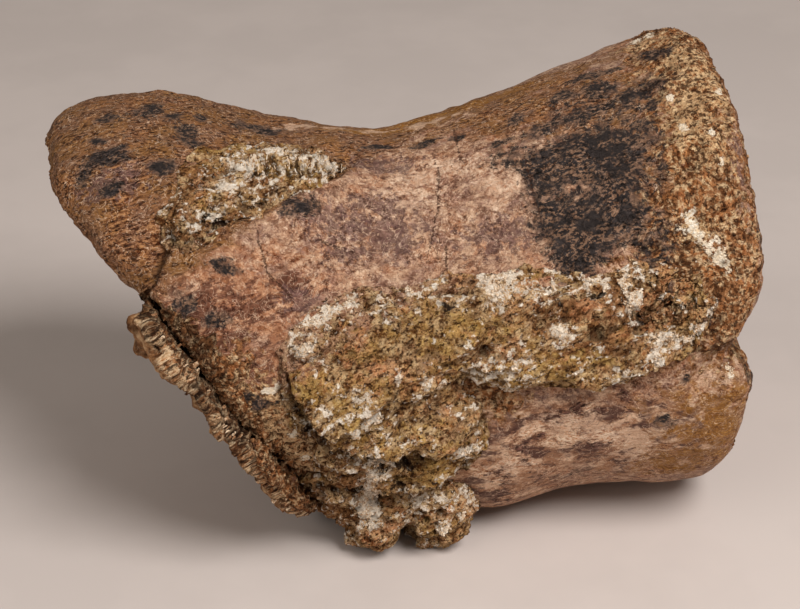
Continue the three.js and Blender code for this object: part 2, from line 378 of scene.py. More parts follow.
# Fossil bone: pinkish tan, stained by iron and manganese, with spongy and cracked places
boneColour = (172, 132, 106)
fibreTilt = math.radians(13)  # the fibres climb a little to the right
boneCoats = dict(
    blush=coat(0.47, 7.0, 0.6, (188, 132, 96), edge=0.2),
    violet=coat(0.43, 3.5, 0.6, (124, 98, 94), length=1.5, edge=0.3),
    cream=coat(0.44, 2.6, 0.65, (214, 178, 148), edge=0.3),
    umber=coat(0.37, 1.1, 0.75, (106, 70, 54), length=1.6, edge=0.08),
    ginger=coat("ginger", 3.0, 0.42, (178, 112, 66), tear=1.3, edge=0.3, length=1.8),
    scorch=coat("scorch", 1.3, 0.85, (98, 60, 46), tear=1.4, edge=0.14, length=2.8),
    rust=coat("rust", 4.0, 0.95, (142, 96, 60), tear=0.8, edge=0.25),
    olive=coat(0.47, 7.0, 0.6, (132, 94, 50), within="rust", edge=0.2),
    mauve=coat(0.47, 6.0, 0.55, (116, 86, 72), within="rust", edge=0.2),
    ember=coat(0.42, 0.75, 0.28, (180, 132, 88), length=2.4, within="rust", edge=0.12),
    soot=coat(0.38, 0.6, 0.85, (54, 28, 13), length=2.4, within="rust", edge=0.07),
    purple=coat("purple", 1.4, 0.72, (98, 74, 72), tear=1.3, edge=0.18),
    ochre=coat("ochre", 3.0, 0.9, (150, 102, 44), tear=0.7, edge=0.25),
    fibre=coat("fibre", 4.0, 0.7, (168, 122, 90), tear=0.8, edge=0.2),
    straw=coat(0.46, 3.2, 0.9, (230, 194, 164), length=2.0, within="fibre", edge=0.16),
    dusk=coat(0.45, 2.8, 0.9, (82, 53, 48), length=2.2, within="fibre", edge=0.12),
    pale=coat("pale", 1.8, 0.7, (224, 188, 160), length=1.6, tear=1.5, edge=0.2),
    spongy=coat("spongy", 1.8, 0.95, (154, 106, 68), tear=1.1, edge=0.2),
    amber=coat(0.45, 3.0, 0.6, (180, 116, 68), within="spongy"),
    burnt=coat(0.44, 3.4, 0.6, (98, 60, 32), within="spongy", edge=0.18),
    meal=coat(0.4, 1.3, 0.75, (226, 194, 152), within="spongy", edge=0.17),
    chalk=coat("chalk", 1.3, 0.58, (226, 190, 144), tear=2.0, edge=0.12),
    bark=coat(0.43, 0.85, 0.85, (60, 31, 12), within="spongy", edge=0.1),
    smoke=coat("black", 2.2, 0.9, (101, 80, 69), tear=0.7, edge=0.25, length=1.2),
    ink=coat("black", 1.2, 0.97, (43, 39, 39), lower=0.03, tear=0.9, edge=0.16, length=1.1),
    grazes=coat(0.5, 3.5, 0.0, (132, 100, 78), within="smoke", edge=0.2),  # only a mask
    flecks=coat(0.45, 0.55, 0.8, (146, 114, 92), length=1.5, within="grazes", edge=0.1),
    white=coat("white", 1.6, 0.95, (246, 230, 206), tear=1.5),
)
# Hair-thin veins, each with the scale of its noise, its strength and its colour
boneVeins = [(0.5, 0.5, (230, 198, 170)), (0.37, 0.45, (92, 62, 52)), (0.85, 0.35, (112, 78, 62))]


def fossilBone():
    material, tree, shader, place = newMaterial("fossil bone")
    sway = wired(tree, "ShaderNodeTexNoise", {"Vector": place, "Scale": 0.11, "Detail": 2.0}).outputs["Color"]
    sockets = {0: sway, 1: (4.0, 4.0, 4.0), 2: place}
    laid = wired(tree, "ShaderNodeVectorMath", sockets, operation="MULTIPLY_ADD").outputs[0]
    laid = turned(tree, laid, fibreTilt)
    colour, masks = coated(tree, laid, boneColour, boneCoats)
    fine = noisy(tree, place, 1.6, 3.0, 0.72, 0.8)
    wisp = noisy(tree, place, 0.7, 3.0, 0.6, 1.2)
    streak = groupNode(tree, fibreGroup, Vector=laid, Scale=2.5, Length=3.4)["Tone"]
    sockets = {"Value": noisy(tree, place, 0.17, 2.0, 0.5)}
    sockets.update({"From Min": 0.3, "From Max": 0.8, "To Min": 0.25, "To Max": 1.4})
    rough = wired(tree, "ShaderNodeMapRange", sockets).outputs["Result"]  # smooth and rougher places
    grit = worked(tree, "MULTIPLY_ADD", worked(tree, "SUBTRACT", fine, 0.5), rough, 0.5)
    dashes = worked(tree, "MULTIPLY_ADD", worked(tree, "SUBTRACT", streak, 0.5), rough, 0.5)
    drawn = worked(tree, "MAXIMUM", masks["rust"], masks["fibre"])
    whole = worked(tree, "SUBTRACT", 1.0, worked(tree, "MAXIMUM", masks["spongy"], masks["smoke"]))
    for scale, strength, lineColour in boneVeins:
        line = times(tree, veined(tree, place, scale, 0.05), whole)
        colour = blended(tree, times(tree, line, strength), colour, tint(*lineColour))
    clouded = mixed(tree, (grit, 0.8), (wisp, 0.65))
    tone = blended(tree, drawn, clouded, mixed(tree, (grit, 0.8), (dashes, 1.2)))
    grain = groupNode(tree, grainGroup, Vector=place, Scale=2.2)
    colour = blended(tree, 0.95, colour, tone, "SOFT_LIGHT")
    # painted shade in the gaps between the grains of spongy bone
    gapShade = times(tree, times(tree, grain["GapShade"], masks["spongy"]), 0.3)
    colour = blended(tree, gapShade, colour, tint(50, 27, 14))

    crackWay = worked(tree, "ABSOLUTE", layerOf(tree, "crack"), 0.0)
    ragged = times(tree, worked(tree, "SUBTRACT", fine, 0.5), 0.8)
    crack = stepped(tree, worked(tree, "ADD", crackWay, ragged), 0.22, 0.04)
    colour = blended(tree, times(tree, crack, 0.75), colour, tint(66, 42, 32))
    # painted shade: the painted layer darkens pits, recesses and low places towards near-black
    hollow = times(tree, layerOf(tree, "hollow"), 0.85)
    colour = blended(tree, hollow, colour, tint(32, 15, 6))
    tree.links.new(colour, shader.inputs["Base Color"])

    dull = summed(tree, (fine, 0.4), (masks["ink"], -0.1), (masks["spongy"], 0.12))
    tree.links.new(worked(tree, "ADD", dull, 0.4), shader.inputs["Roughness"])
    spongeHeight = times(tree, grain["Height"], masks["spongy"])
    height = [(fine, 0.3), (streak, 0.25), (spongeHeight, 0.3), (crack, -0.2), (masks["white"], 0.15)]
    bumped(tree, shader, summed(tree, *height), 0.8)
    return material


# Sandy matrix: ochre grains with pits darkened by painted shade, orange patches and white calcite. Skin is
# where the bone shows.
matrixColour = (176, 136, 88)
bedTilt = math.radians(28)  # the beds climb to the right
matrixCoats = dict(
    olive=coat(0.5, 8.0, 0.85, (170, 134, 78), edge=0.2),
    peach=coat(0.45, 4.5, 0.75, (208, 150, 106), edge=0.18),
    ash=coat(0.43, 3.2, 0.6, (146, 120, 96)),
    skin=coat("skin", 2.2, 0.9, (176, 136, 110), tear=1.4, edge=0.16),
    brown=coat("brown", 3.0, 0.85, (134, 90, 54), tear=1.0, edge=0.22),
    orange=coat("orange", 2.6, 0.8, (212, 154, 110), tear=1.0, edge=0.2),
    yellow=coat("yellow", 3.0, 0.7, (182, 146, 82), tear=1.0, edge=0.22),
    worn=coat(0.5, 6.0, 0.35, (138, 98, 62), edge=0.2),
    umber=coat(0.47, 1.2, 0.9, (76, 40, 12), within="worn", edge=0.1, length=1.3),
    cream=coat(0.44, 2.2, 0.65, (224, 190, 142), within="worn", edge=0.18),
    halo=coat("white", 1.6, 0.6, (220, 188, 148), lower=-0.08, tear=1.0, edge=0.22),
    # tiny dark dots painted as the shade of tiny holes
    pinholeShade=coat(0.35, 0.7, 0.85, (48, 23, 5), edge=0.07, length=1.2),
    white=coat("white", 1.3, 0.95, (250, 238, 222), tear=1.2, edge=0.13),
    specks=coat(0.37, 0.5, 0.7, (140, 108, 78), within="white", edge=0.1),
    # black: the deepest holes, painted near-black as their shade
    black=coat("black", 1.1, 0.9, (34, 27, 23), edge=0.12),
)


def sandyMatrix():
    material, tree, shader, place = newMaterial("sandy matrix", 0.85)
    laid = turned(tree, place, bedTilt)
    colour, masks = coated(tree, laid, matrixColour, matrixCoats)
    fine = noisy(tree, place, 1.7, 3.0, 0.75, 1.6)
    patchy = noisy(tree, drawnOut(tree, laid, 1.6), 0.75, 4.0, 0.72, 1.2)
    grain = groupNode(tree, grainGroup, Vector=place, Scale=2.2)
    colour = blended(tree, 0.95, colour, mixed(tree, (fine, 0.8), (patchy, 1.0)), "SOFT_LIGHT")
    # painted shade in the gaps between the sand grains
    colour = blended(tree, times(tree, grain["GapShade"], 0.25), colour, tint(70, 38, 15))
    # painted shade: the painted layer darkens pits, lips and low places of the sand towards near-black
    hollow = times(tree, layerOf(tree, "hollow"), 0.85)
    colour = blended(tree, hollow, colour, tint(36, 16, 4))
    colour = blended(tree, times(tree, masks["white"], 0.3), colour, tint(250, 236, 216))
    tree.links.new(colour, shader.inputs["Base Color"])
    bumped(tree, shader, summed(tree, (fine, 0.4), (grain["Height"], 0.25)), 0.8)
    return material


# Broken fibrous bone: prisms in tan, white and brown, laid across the plate
prismTilt = math.radians(30.7)
plateColour = (148, 106, 72)
plateCoats = dict(
    tan=coat(0.5, 5.0, 0.8, (188, 126, 78), edge=0.2),
    shade=coat(0.48, 4.5, 0.8, (94, 58, 34), length=1.4, edge=0.18),
    bright=coat(0.41, 3.0, 0.7, (212, 180, 140), length=2.0, edge=0.18),
    brown=coat(0.46, 1.3, 0.8, (88, 56, 36), length=6.0),
    cream=coat(0.42, 0.9, 0.8, (228, 198, 160), length=6.0),
    dark=coat(0.43, 0.7, 0.85, (48, 27, 14), length=6.0),
)
spongeTones = [(0.2, tint(90, 57, 34)), (0.5, tint(152, 108, 71)), (0.85, tint(206, 168, 126))]


def fibrousBone():
    material, tree, shader, place = newMaterial("fibrous bone", 0.8)
    laid = turned(tree, place, prismTilt)
    colour = coated(tree, laid, plateColour, plateCoats)[0]
    streak = groupNode(tree, fibreGroup, Vector=laid, Scale=1.5, Length=6.0)["Tone"]
    fine = noisy(tree, place, 2.0, 3.0, 0.78)
    broken = layerOf(tree, "outer")
    coarse = noisy(tree, place, 0.45, 4.0, 0.62)
    sponge = ramped(tree, coarse, spongeTones)
    colour = blended(tree, times(tree, broken, 0.8), colour, sponge)
    smoother = worked(tree, "MULTIPLY_ADD", broken, -0.6, 1.0)
    colour = blended(tree, smoother, colour, mixed(tree, (streak, 0.8), (fine, 0.7)), "SOFT_LIGHT")
    # painted shade: the painted layer darkens low places, the groove and the cells towards near-black, and
    # also darkens the broken face in patches
    hollow = times(tree, layerOf(tree, "hollow"), 0.9)
    colour = blended(tree, hollow, colour, tint(32, 16, 7))
    tree.links.new(colour, shader.inputs["Base Color"])
    bumped(tree, shader, times(tree, summed(tree, (streak, 0.45), (fine, 0.25)), smoother), 0.8)
    return material


# Loose grains and crystals: each copy has a tone of its own
def grainMaterial(name, stops, roughness):
    material, tree, shader, place = newMaterial(name, roughness)
    fine = noisy(tree, place, 2.4, 3.0, 0.7)
    tone = worked(tree, "MULTIPLY_ADD", worked(tree, "SUBTRACT", fine, 0.5), 0.9, layerOf(tree, "tone"))
    tree.links.new(ramped(tree, tone, stops), shader.inputs["Base Color"])
    bumped(tree, shader, fine, 0.4)
    return material


boneFinish = fossilBone()
matrixFinish = sandyMatrix()
fibreFinish = fibrousBone()
calciteTones = [(0.0, tint(150, 114, 80)), (0.3, tint(204, 174, 140)), (0.65, tint(236, 214, 188)),
                (1.0, tint(250, 240, 224))]
prismTones = [(0.0, tint(64, 38, 22)), (0.35, tint(132, 92, 64)), (0.65, tint(178, 138, 102)),
              (1.0, tint(234, 210, 180))]
calciteFinish = grainMaterial("calcite", calciteTones, 0.55)
prismFinish = grainMaterial("bone prisms", prismTones, 0.7)
print("materials made")

# Bone skin: one surface over the centrum and both ends
boneSkin = dict(voxel=0.7, swell=0.22, smoothing=3)
boneRelief = dict(broad=0.22, fine=0.08, spongy=0.6, pits=0.7, valley=1.6, earFibres=0.14, earLumps=0.4,
                  far=0.5, rings=0.16, lip=0.5, drop=1.2)
earPlane = dict(x=-26.0, perY=1.22, perZ=1.106)  # the ear lies beyond this slanting plane
boneMarks = dict(
    ginger=[(-40, 39, 8, 6), (-31, 34, 9, 5), (-36, 21, 10, 8), (-26, 12, 8, 6), (-22, 30, 5, 3),
            (-28, 22, 8, 6), (30, 78, 10, 3), (40, 88, 6, 2), (44, 45, 3, 5), (46, 24, 4, 4)],
    rust=[(30, 86, 20, 8), (45, 28, 6, 8), (24, 98, 16, 6), (-22, 104, 10, 4), (37, 74, 10, 6),
          (43, 52, 4, 14)],
    scorch=[(-30.5, 25, 7, 3), (-37, 24, 4, 4), (-34, 15, 5, 2.6), (-29, 8, 5, 2.6), (-21, 29, 4, 1.8)],
    sooty=[(36, 76, 9, 4), (43, 60, 3, 10), (42, 34, 4, 5), (20, 66, 5, 3)],
    chalk=[(51, 65, 3, 7), (54, 74, 2.4, 6), (53, 88, 2.4, 5), (54, 57, 2, 3), (50, 102, 3, 2),
           (50, 36, 3, 2), (57, 64, 1.4, 6), (-30, -8, 4, 4), (-24, -24, 4, 5), (-18, -40, 5, 6)],
    purple=[(-13.5, 49, 6, 3.5), (-3, 43.5, 6, 4.5), (-8, 47, 4, 3), (-4, 54, 5, 3), (-20, 25, 3, 2),
            (-11, 38, 4, 2), (-3, 72, 6, 2.5), (16, 40, 6, 3), (18, -20, 4, 3), (33, -10, 10, 2),
            (20, -12, 8, 2), (57.5, 52, 2, 8), (20.5, -24, 4, 2.6), (15, -22, 3, 2), (27, -30, 5, 1.6),
            (-50, 66, 5, 3)],
    ochre=[(51, -20, 10, 12), (46, -32, 9, 6), (12, 104, 16, 4), (13, -9, 6, 4), (-2, 98, 9, 3)],
    fibre=[(24, -26, 20, 10), (34, -14, 12, 5), (14, -38, 12, 9)],
    pale=[(28.5, -18, 5, 1.8), (39, -27, 3, 5), (18, -33, 3, 2), (34, -22, 5, 1.6), (10, 66, 5, 2.6),
          (17, 56, 3, 4), (-26, 62, 5, 3), (2, 60, 4, 3), (-14, 102, 5, 1.4), (-2, 99, 6, 1.4),
          (9, 97, 5, 1.2), (50, -2, 1.6, 4)],
    black=[(-39.6, 27, 2, 1.8), (-33.2, 35.6, 2.4, 1.2), (-35, 20.6, 2, 1.4), (-28.6, -3.8, 3, 1.5),
           (-42, 100.5, 2.4, 2.6), (-39, 95, 2, 2.2), (-36.8, 88, 2.2, 2.6), (-36.2, 81, 2, 2.4),
           (-48.9, 97, 2.4, 1.3), (-50, 75.6, 3.6, 2.4), (-55, 72.6, 1.8, 1.6), (-41.2, 68.7, 1.5, 1.5),
           (-51, 63.5, 1.8, 1.3), (-52, 85, 1.5, 1.2), (-33, 97, 1.6, 1.4), (-18.2, 53.5, 2.6, 1.9),
           (-20.6, 52.2, 1.2, 0.5), (23.3, 81.4, 1.9, 1.6), (26.5, 73, 3.8, 1.6), (35, 75.5, 6, 1.7, 12),
           (44, 78, 5, 2.2, 12), (38, 84, 3, 2.2), (46, 72, 1.5, 1.5), (40.6, 91, 2.4, 1.6),
           (43, 66, 1.8, 1.8), (18.7, 72.2, 2.2, 1.1), (31.2, 86, 2.8, 1.7), (5.7, 81, 2.2, 1.2),
           (12, 79, 1.6, 0.9), (-2.9, 83, 2.6, 1.1), (44.1, -15.7, 1.5, 1.2), (-23, 98, 4.4, 2),
           (38, 92, 4, 1.5), (50, 92, 3, 1.4), (42, 21, 2, 1), (46, -2, 1, 0.8), (43, 27, 1.5, 1),
           (49, 15, 1.8, 1)],
    white=[(50.6, 107, 2, 1.2), (50, 62.7, 0.8, 1), (54, 59.4, 0.6, 0.8), (49.3, 34, 3, 1.1, -40),
           (50.8, 30.3, 2.8, 1, -40), (48, 38, 1.8, 0.9, -40), (52.7, 27.2, 2, 0.9, -30), (44, 9, 3, 0.9),
           (49.7, 71, 0.6, 0.7), (57, 70, 0.5, 1), (55, 51, 0.5, 1.2), (54.6, -1, 0.4, 3, 20),
           (-25.4, 1.5, 1.6, 0.8), (-22, -14, 0.8, 0.8), (-19, -24, 1.2, 0.6)],
)
blackPatch = [(20.5, 64), (26, 67.5), (31, 69), (38, 70), (43.5, 62), (43, 52), (41, 46), (42.5, 41),
              (38.5, 35.5), (33.5, 32), (31.5, 24), (26, 24), (23.5, 32), (22, 41), (21, 50)]
brownGap = (29, 50, 4.5, 1.8)  # a browner place inside the black patch
spongyRim = [(50, 125), (47, 100), (45, 80), (44.5, 63), (42.5, 50), (41, 38), (38.5, 28), (41, 16),
             (47, 3), (56, 4), (66, 6), (66, 125)]
smoothEdge = (58, 52, 1.6, 9)  # a place on the rim that keeps its skin
spongyMarks = [(40, 20, 6, 6), (-32, 9, 4, 3), (13, -8, 5, 4.5)]
brokenLedge = [(-38, 12), (-36, 6), (-32.5, -6), (-27, -26), (-20, -58), (-8, -58), (-12, -40), (-15, -22),
               (-20, -6), (-24, 2), (-31, 5)]
breakEdge = [(-46, 29), (-40, 18), (-36, 6), (-32.5, -6), (-27, -26), (-20, -55)]
stepEdge = [(-48, 25), (-46, 29), (-43.5, 35), (-41, 43), (-35, 46.5), (-29, 50.5), (-20, 57), (-11, 65),
            (-8, 71)]
cracks = [
    [(7.2, 69), (6.8, 58), (5.6, 49), (4, 39), (3.1, 35)],
    [(6.6, 38.5), (6.6, 31)],
    [(-15, 42), (-13, 41), (-11.3, 40), (-9.6, 38.5)],
    [(-26.4, 46), (-26, 40), (-25.3, 33), (-22, 27)],
    [(-35.7, 27.4), (-34.8, 24), (-33.9, 20)],
    [(22.4, 62), (22.3, 55.6), (22.5, 49), (23, 44)],
    [(11.9, 85), (11.6, 69)],
    [(-30, 135), (-18, 142), (-6, 139), (8, 147)],
    [(12, 175), (20, 168), (33, 172)],
    [(-10, 190), (-2, 205), (6, 212), (18, 208)],
    [(30, 120), (34, 135), (31, 150)],
]
notchValley = [(66, 5), (54, 4.5), (48, -3)]
farStains = [  # stains of the far side and of the end face: layer, share, size of the patches and seed
    ("rust", 0.32, 16.0, 3), ("purple", 0.2, 13.0, 4), ("black", 0.1, 9.0, 5), ("ginger", 0.15, 15.0, 16),
    ("ochre", 0.12, 12.0, 17), ("pale", 0.2, 8.0, 18),
]


def boneSkinMesh():
    mesh = remeshed(["centrum", "worn_end", "whole_end"], **boneSkin)
    points = pointsOf(mesh)
    normals = pointsOf(mesh, "normal")
    x, angle = spoolPlace(points)
    warp = 1.6 * fractal(points, 5.0, 3, 1)
    sway = 2.4 * fractal(points, 5.0, 3, 2)
    markX, markAngle = x + warp, angle + sway
    behind = ramp(95, 125, np.abs(angle - 25))  # the half of the bone that faces away from the front
    ear = x - earPlane["x"] - earPlane["perY"] * (points[:, 1] - spool["axisY"])
    ear = np.clip(0.5 - (ear - earPlane["perZ"] * (points[:, 2] - spool["axisZ"])) / 8, 0, 1)
    wornFace = ramp(-0.87, -0.94, normals[:, 0])
    wholeFace = ramp(0.6, 0.85, normals[:, 0])
    radius = np.hypot(points[:, 1] - spool["axisY"], points[:, 2] - spool["axisZ"])
    flank = 1 - np.maximum(wornFace, wholeFace)  # marks stay off the end faces
    away = np.maximum(behind, wholeFace)
    layers = {name: flank * marked(markX, markAngle, marks) for name, marks in boneMarks.items()}

    ledge = fenced(markX, markAngle, brokenLedge, 6.0)
    spongy = np.maximum(fenced(markX, markAngle, spongyRim, 14.0), marked(markX, markAngle, spongyMarks))
    spongy = np.maximum(spongy, np.maximum(ledge, 0.9 - np.abs(lineDistance(x, angle, breakEdge)) / 3))
    spongy = np.maximum(spongy, 0.8 * ramp(47, 55, x) * behind)
    spongy -= 0.7 * marked(x, angle, [smoothEdge])
    spongy *= 1 - wholeFace
    faceWear = 0.14 + 0.45 * ramp(29, 38, radius) + 0.45 * fractal(points, 11.0, 3, 14)
    spongy = np.maximum(spongy, np.maximum(0.85 * wornFace, faceWear * wholeFace))
    layers["chalk"] = np.maximum(layers["chalk"], 0.75 * ledge)
    layers["rust"] = np.maximum(layers["rust"], ear * (1 - 0.4 * behind))
    for name, share, size, seed in farStains:
        layers[name] = np.maximum(layers[name], away * (share + 0.65 * fractal(points, size, 3, seed)))
    black = np.maximum(layers["black"], 0.9 * fenced(markX, markAngle, blackPatch, 6.0))
    black = np.maximum(black, 0.46 * ramp(0.2, 0.6, layers.pop("sooty")))
    layers["black"] = black - 0.4 * marked(markX, markAngle, [brownGap])
    crack = np.full(len(x), 9.0)
    for route in cracks:
        beside = lineDistance(x + 0.3 * warp, angle + 0.3 * sway, route)
        crack = np.where(np.abs(beside) < np.abs(crack), beside, crack)

    coarse = ramp(0.4, 0.6, spongy)
    pits = hollows(points, 2.1, 1) * coarse * ramp(0.0, 0.4, fractal(points, 4.0, 2, 6))
    valley = ramp(3.5, 0, np.abs(lineDistance(x, angle, notchValley)))
    valley *= ramp(44, 50, x) * ramp(27, 37, radius)
    relief = boneRelief
    height = relief["broad"] * fractal(points, 9.0, 3, 7) + relief["fine"] * fractal(points, 1.7, 3, 8)
    height += coarse * (relief["spongy"] * fractal(points, 2.7, 4, 9, (1.6, 1, 1)) - 0.1)
    height -= relief["pits"] * pits + relief["valley"] * valley
    earFibres = relief["earFibres"] * fractal(points, 1.3, 3, 10, (5, 1, 1))
    height += ramp(0.4, 0.7, ear) * (earFibres + relief["earLumps"] * fractal(points, 4.5, 3, 19))
    height += relief["far"] * away * fractal(points, 11.0, 3, 20)
    rings = np.sin(1.1 * radius + 3 * fractal(points, 12.0, 2, 21)) * ramp(6, 16, radius)
    height += relief["rings"] * wholeFace * rings
    step = lineDistance(x + 0.5 * warp, angle + 0.5 * sway, stepEdge)  # the ear lies on its upper side
    height += relief["lip"] * ramp(-6, -0.3, step) * ramp(0.5, -0.3, step)
    height -= relief["drop"] * ramp(-0.3, 0.5, step) * ramp(7, 0.5, step)
    raised(mesh, height)
    # painted shade: darkness in the pits, in low spongy places and along the step below the ear's edge
    hollow = np.maximum(pits * 0.8, 0.6 * coarse * ramp(-0.2, -0.8, height)) * (1 - 0.5 * ledge)
    hollow = np.maximum(hollow, 0.8 * ramp(1.1, 0.2, np.abs(step - 0.4)) * ramp(-33, -38, x))
    painted(mesh, spongy=spongy, crack=crack, hollow=hollow, **layers)
    return mesh


boneMesh = boneSkinMesh()


def treeOf(mesh):
    corners = np.zeros(len(mesh.loops), np.int32)
    mesh.loops.foreach_get("vertex_index", corners)
    return BVHTree.FromPolygons(pointsOf(mesh).tolist(), corners.reshape(-1, 4).tolist())


boneTree = treeOf(boneMesh)


def aboveBone(points):
    found = [boneTree.find_nearest(point) for point in points.tolist()]
    feet = np.array([foot for foot, normal, face, distance in found])
    normals = np.array([normal for foot, normal, face, distance in found])
    return ((points - feet) * normals).sum(1), normals


placed("bone_skin", boneMesh, boneFinish, ["centrum", "worn_end", "whole_end"])

# Break plate: ridged prisms that lie across the slanting break
breakPlate = dict(voxel=0.33, swell=0.1, smoothing=2)
plateShade = [(-35, 6, 3, 6, -50), (-30.5, -8, 2, 3)]  # stretches darkened with painted shade
prisms = dict(pitch=3.1, height=1.0, fibre=0.3, lumps=2.2, groove=0.5, cells=0.9, swells=2.0)


def breakPlateMesh():
    mesh = remeshed(["break_plate"], **breakPlate)
    points = pointsOf(mesh)
    x, angle = spoolPlace(points)
    run = points[:, 0] * math.cos(prismTilt) + points[:, 2] * math.sin(prismTilt)
    row = points[:, 2] * math.cos(prismTilt) - points[:, 0] * math.sin(prismTilt)
    laid = np.stack([0.16 * run, points[:, 1], row], 1) + 0.4 * fractal(points, 5.0, 3, 11)[:, None]
    height = prisms["height"] * fractal(laid, prisms["pitch"], 3, 12)
    height += prisms["fibre"] * fractal(laid, 0.8, 2, 13)
    inner = ramp(4.5, 1.0, np.abs(lineDistance(x, angle, breakEdge)))  # the side beside the bone
    nearGroove = inner * ramp(-24, -10, angle)
    outer = ramp(-0.4, -0.8, pointsOf(mesh, "normal")[:, 0])  # the broken face itself
    cells = hollows(points, 2.8, 8) * outer
    height = height * (1 - 0.75 * outer) - prisms["cells"] * cells
    height += prisms["lumps"] * (1 - inner) * fractal(points, 7.0, 4, 22) - prisms["groove"] * nearGroove
    height += prisms["swells"] * outer * fractal(points, 15.0, 3, 23)
    raised(mesh, height)
    # painted shade in low places, beside the groove, in the cells and in the darker stretches; the broken
    # face also gets darker patches of noise
    hollow = np.maximum(ramp(-0.2, -0.9, height) * (1 - 0.7 * outer), 0.6 * nearGroove)
    hollow = np.maximum(hollow, outer * (0.25 + 0.6 * fractal(points, 13.0, 2, 24)))
    hollow = np.maximum(hollow, 0.65 * cells)
    painted(mesh, hollow=np.maximum(hollow, 0.8 * marked(x, angle, plateShade)), outer=outer)
    return mesh


plateMesh = breakPlateMesh()
plateTree = treeOf(plateMesh)
placed("fibrous_plate", plateMesh, fibreFinish, ["break_plate"])

# Matrix crust over the broken arch and its stump
matrixCrust = dict(voxel=0.34, swell=0.3, smoothing=2)
lumpGap = (-0.5, -54, 1.6, 5)  # between the two lumps of the stump
crustTop = [(-26, 6), (-23, 12), (-21, 19), (-14, 25), (-4, 27), (3, 31), (24, 27), (38, 27), (48, 19),
            (52, 8)]
crustMarks = dict(
    white=[(13.2, 25, 1.7, 2.6), (16.6, 27.4, 2.2, 1.3), (-0.8, 24.8, 0.9, 0.9), (-5.5, 23.4, 1.1, 0.5),
           (-14.5, 21.6, 2.6, 1.2, 25), (-12, 23.8, 2, 1, 25), (-18.8, 18.8, 2.4, 1.2, 25),
           (-15.7, 17.4, 1, 1.2), (23.8, 13.4, 1.9, 1.3), (36.2, 21.8, 0.75, 4.2, 5), (32.2, 23, 0.65, 2),
           (23.8, 25, 0.6, 2), (29.5, 24, 0.6, 1.3), (42, 10.4, 2.6, 1.3), (45.9, 10.4, 2.6, 0.7),
           (40.5, 6, 1.2, 2.2), (-8.1, -42.5, 2, 2.2), (-6.6, -21.5, 2.6, 1.6), (-8, -27, 1.6, 2),
           (-8.6, -34, 2, 1.6), (7.1, -21.6, 3.2, 0.8), (3.4, -1.5, 1.8, 0.6, 25),
           (-1.3, -2.8, 1.4, 0.6, 25), (0.8, 2.2, 0.7, 1.1, 40), (-4, 3, 0.8, 0.8), (-8.5, -7, 2, 0.6, 30),
           (-12.6, -9.5, 1.2, 0.7), (9.2, -44.6, 0.8, 0.9), (4.6, -45, 0.8, 1.2), (1.5, -41.5, 1.2, 0.7),
           (27, 3, 1.2, 0.5), (16, -3, 1.4, 0.5), (-19, 12, 1.4, 0.8)],
    orange=[(18.5, 24, 2.8, 1.4), (-7.5, 6, 2.4, 1.6), (-3, 4, 1.4, 1), (6.1, -17.6, 2.6, 1.2),
            (-14, 4, 2.6, 3), (41, 19, 4, 3), (30, 17, 4, 2), (-6.6, -47, 4, 2), (14, 10, 3, 2)],
    yellow=[(-14, -4, 8, 6), (-6, -14, 6, 3), (3, -26, 6, 5), (22, 4, 10, 3), (4, 14, 8, 3)],
    brown=[(-18, -18, 5, 6), (-14, -30, 4, 6), (24, 18, 5, 3), (33, 17, 6, 4), (-16, -48, 7, 6),
           (28, 9, 6, 2), (40, 14, 5, 3)],
    # black: deep holes, painted near-black as their shade and also sunk as pits
    black=[(-3.4, -22.6, 1.4, 1.1), (-2.2, -24.6, 1, 0.8), (-6.8, -24, 0.8, 0.8), (24, 19, 0.8, 0.6),
           (-19.5, -9, 1.6, 1), (-4, -33, 1, 0.7), (31, 21, 1.2, 0.5), (5, 20, 0.8, 0.6)],
)
ledges = [  # routes of raised lips, each with its height and the reach of the rise behind it
    dict(route=[(-23, 5), (-21.5, -1), (-16.4, -13), (-9, -17.5), (-3.9, -20), (4, -19)], high=1.5, reach=9),
    dict(route=[(-15, -10), (-7.7, -3.6), (3.4, -1), (12, 4)], high=0.6, reach=5),
    dict(route=[(8, -16), (16, -8), (24, -4), (33, -2), (42, 3)], high=0.8, reach=6),
]
bedding = dict(stretch=2.8, rise=0.7)  # steps of the beds
crustRelief = dict(beds=0.7, crags=1.4, fine=0.35, pits=1.3, white=0.3)
calmSpots = [(-14, -2, 8, 7), (-3, -9, 7, 5), (22, 3, 10, 4), (4, 14, 7, 4), (-8, 10, 6, 4)]  # smoother sand


